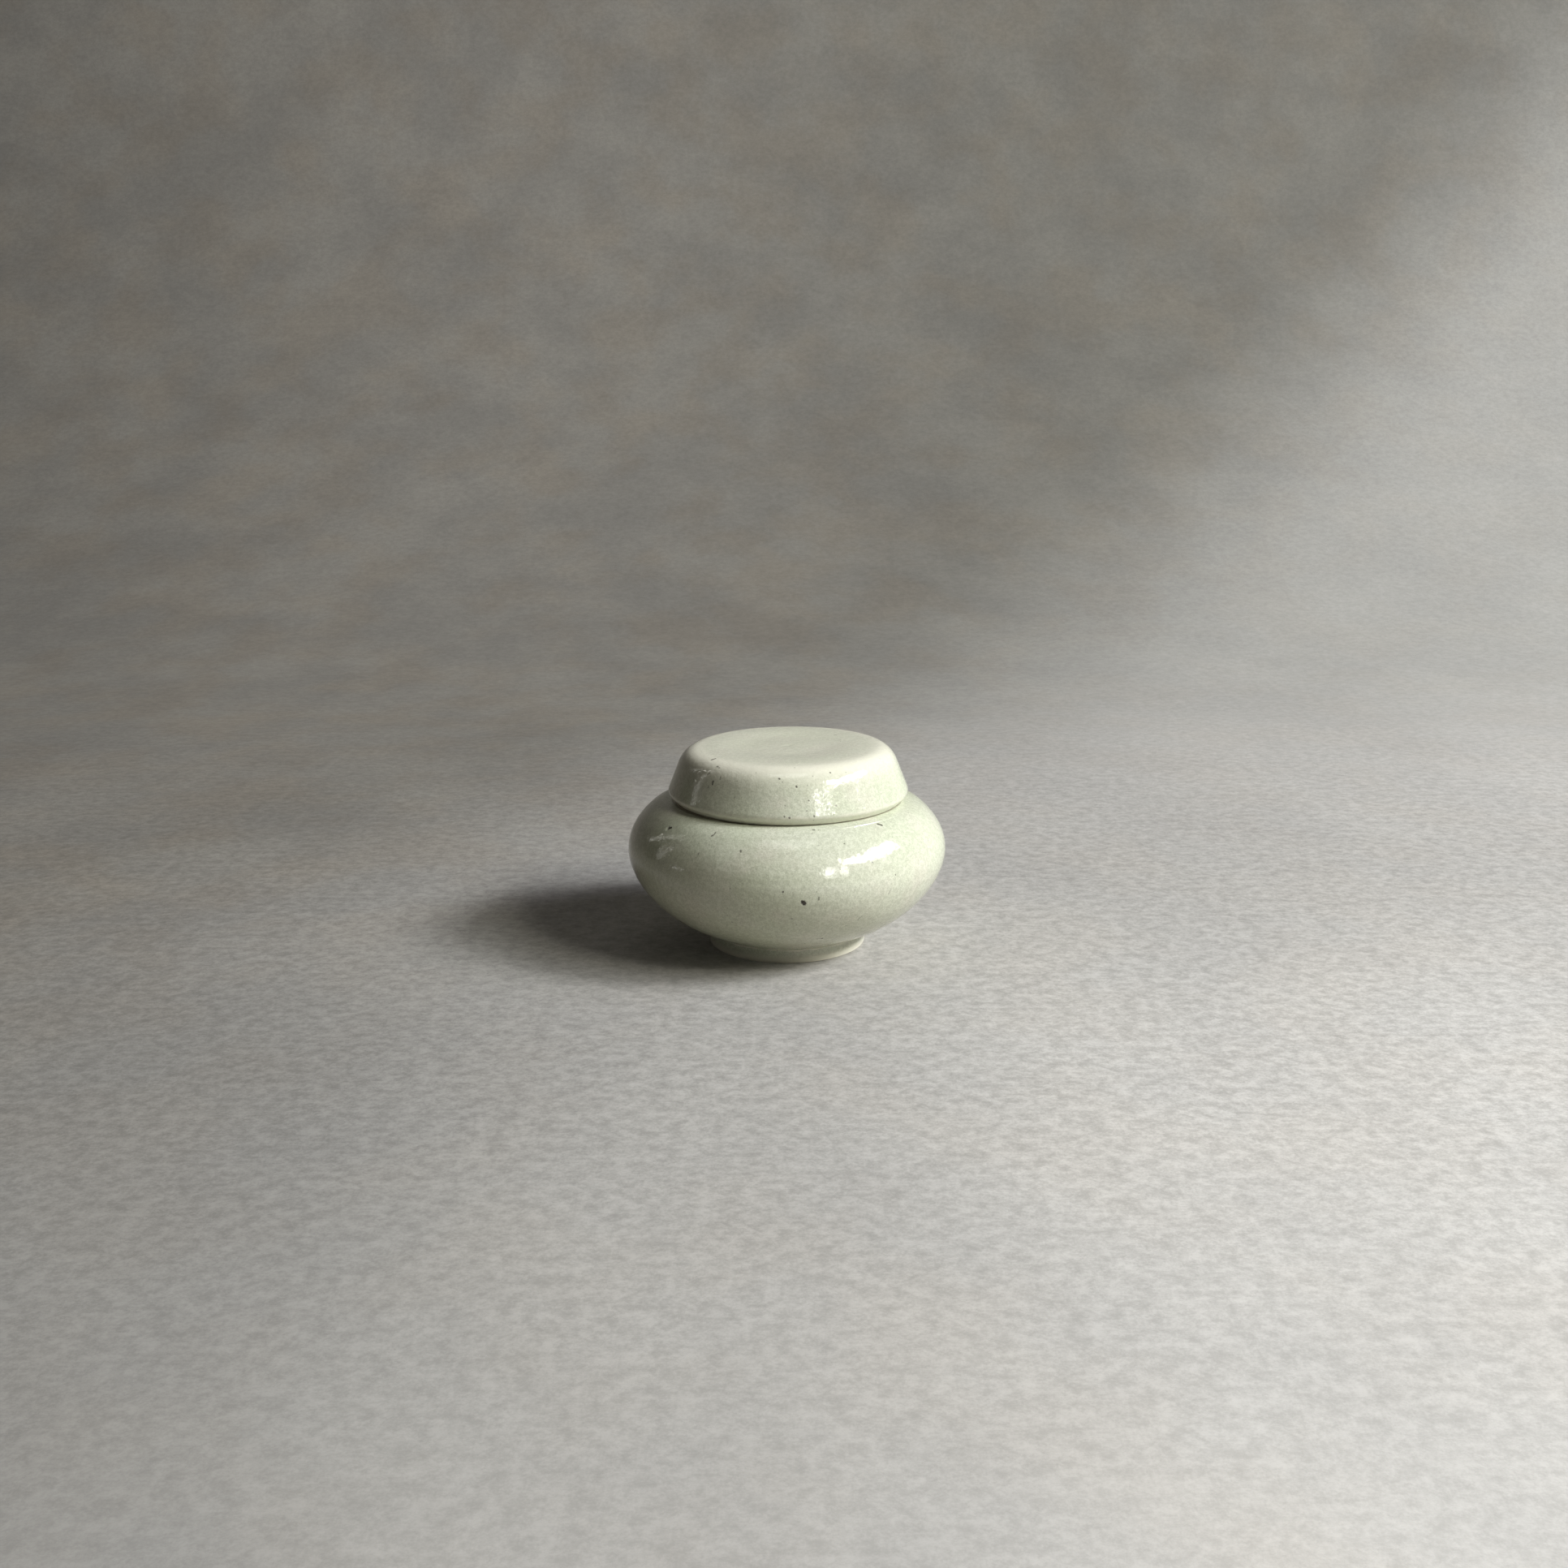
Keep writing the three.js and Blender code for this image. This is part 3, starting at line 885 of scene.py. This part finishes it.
def panel(name, azimuth, elevation, width, height, power, colour, gloss=None, lean=0.0):
    """A rectangular light that faces the jar from the given direction.

    With gloss=True it shows only in the glaze's shine, as a dim far thing in a room does, and
    with gloss=False it doesn't show there, as a wide wall that gives light back. The lean turns
    it in its own plane, in degrees, anticlockwise as the jar sees it.
    """
    light = bpy.data.lights.new(name, "AREA")
    light.shape = "RECTANGLE"
    light.size, light.size_y = width, height
    light.energy = power
    light.color = colour
    holder = bpy.data.objects.new(name, light)
    direction = from_angles(azimuth, elevation)
    holder.location = LAMP_AIM + direction * LAMP_DISTANCE
    turned = direction.to_track_quat("Z", "Y") @ Quaternion((0, 0, 1), math.radians(-lean))
    holder.rotation_euler = turned.to_euler()
    holder.visible_diffuse = gloss is not True
    holder.visible_glossy = gloss is not False
    bpy.context.scene.collection.objects.link(holder)


def room():
    """The world, with one strength for the rays that see or mirror it and one for light."""
    world = bpy.data.worlds.new("room")
    bpy.context.scene.world = world
    world.use_nodes = True
    tree = world.node_tree
    rays = tree.nodes.new("ShaderNodeLightPath")
    seen = highest(Value(tree, rays.outputs[key]) for key in SEEN_RAYS)
    background = tree.nodes["Background"]
    background.inputs["Color"].default_value = ROOM_COLOUR
    feed(tree, background.inputs["Strength"], seen * (ROOM_SEEN - ROOM_LIGHT) + ROOM_LIGHT)


backdrop()
# A wide window stands to the right, brightest in its third quarter
panel("window_1", -38.7, 36, 0.23, 0.22, 4.6, (1.0, 0.96, 0.80))
panel("window_2", -25.1, 36, 0.25, 0.22, 4.8, DAYLIGHT)
panel("window_3", -10.9, 36, 0.25, 0.22, 12.4, DAYLIGHT)
panel("window_4", 3.3, 36, 0.25, 0.22, 2.4, (0.94, 0.93, 1.0))
# Soft light from the front, from the left and from over the back
panel("glow", -60, 40, 0.6, 0.5, 0.35, (1.0, 0.88, 0.70))
panel("wall", -155, 10, 0.8, 0.5, 0.22, (1.0, 0.93, 0.82), gloss=False)
panel("overhead", 90, 70, 0.6, 0.5, 0.15, (1.0, 0.98, 0.94))
# What else of the room the glaze mirrors: ceiling, panes low down, and far strips of light
panel("ceiling", -90, 80, 0.6, 0.4, 1.5, (1.0, 1.0, 0.95), gloss=True)
panel("pane_left", -60, 20.5, 0.08, 0.40, 2.7, PANE, gloss=True)
panel("pane_middle", -49.5, 20.5, 0.045, 0.39, 1.9, PANE, gloss=True)
panel("pane_right", -13, 24, 0.02, 0.17, 0.3, PANE, gloss=True)
panel("strip_near", 153.5, 28, 0.025, 0.6, 0.26, STRIP, gloss=True, lean=25.6)
panel("strip_far", 168, 16, 0.03, 0.5, 0.22, STRIP, gloss=True)
panel("glint", -171, 1.5, 0.12, 0.1, 0.12, (1.0, 0.97, 0.93), gloss=True)
room()
place_camera()
bpy.context.scene.view_settings.view_transform = "Standard"
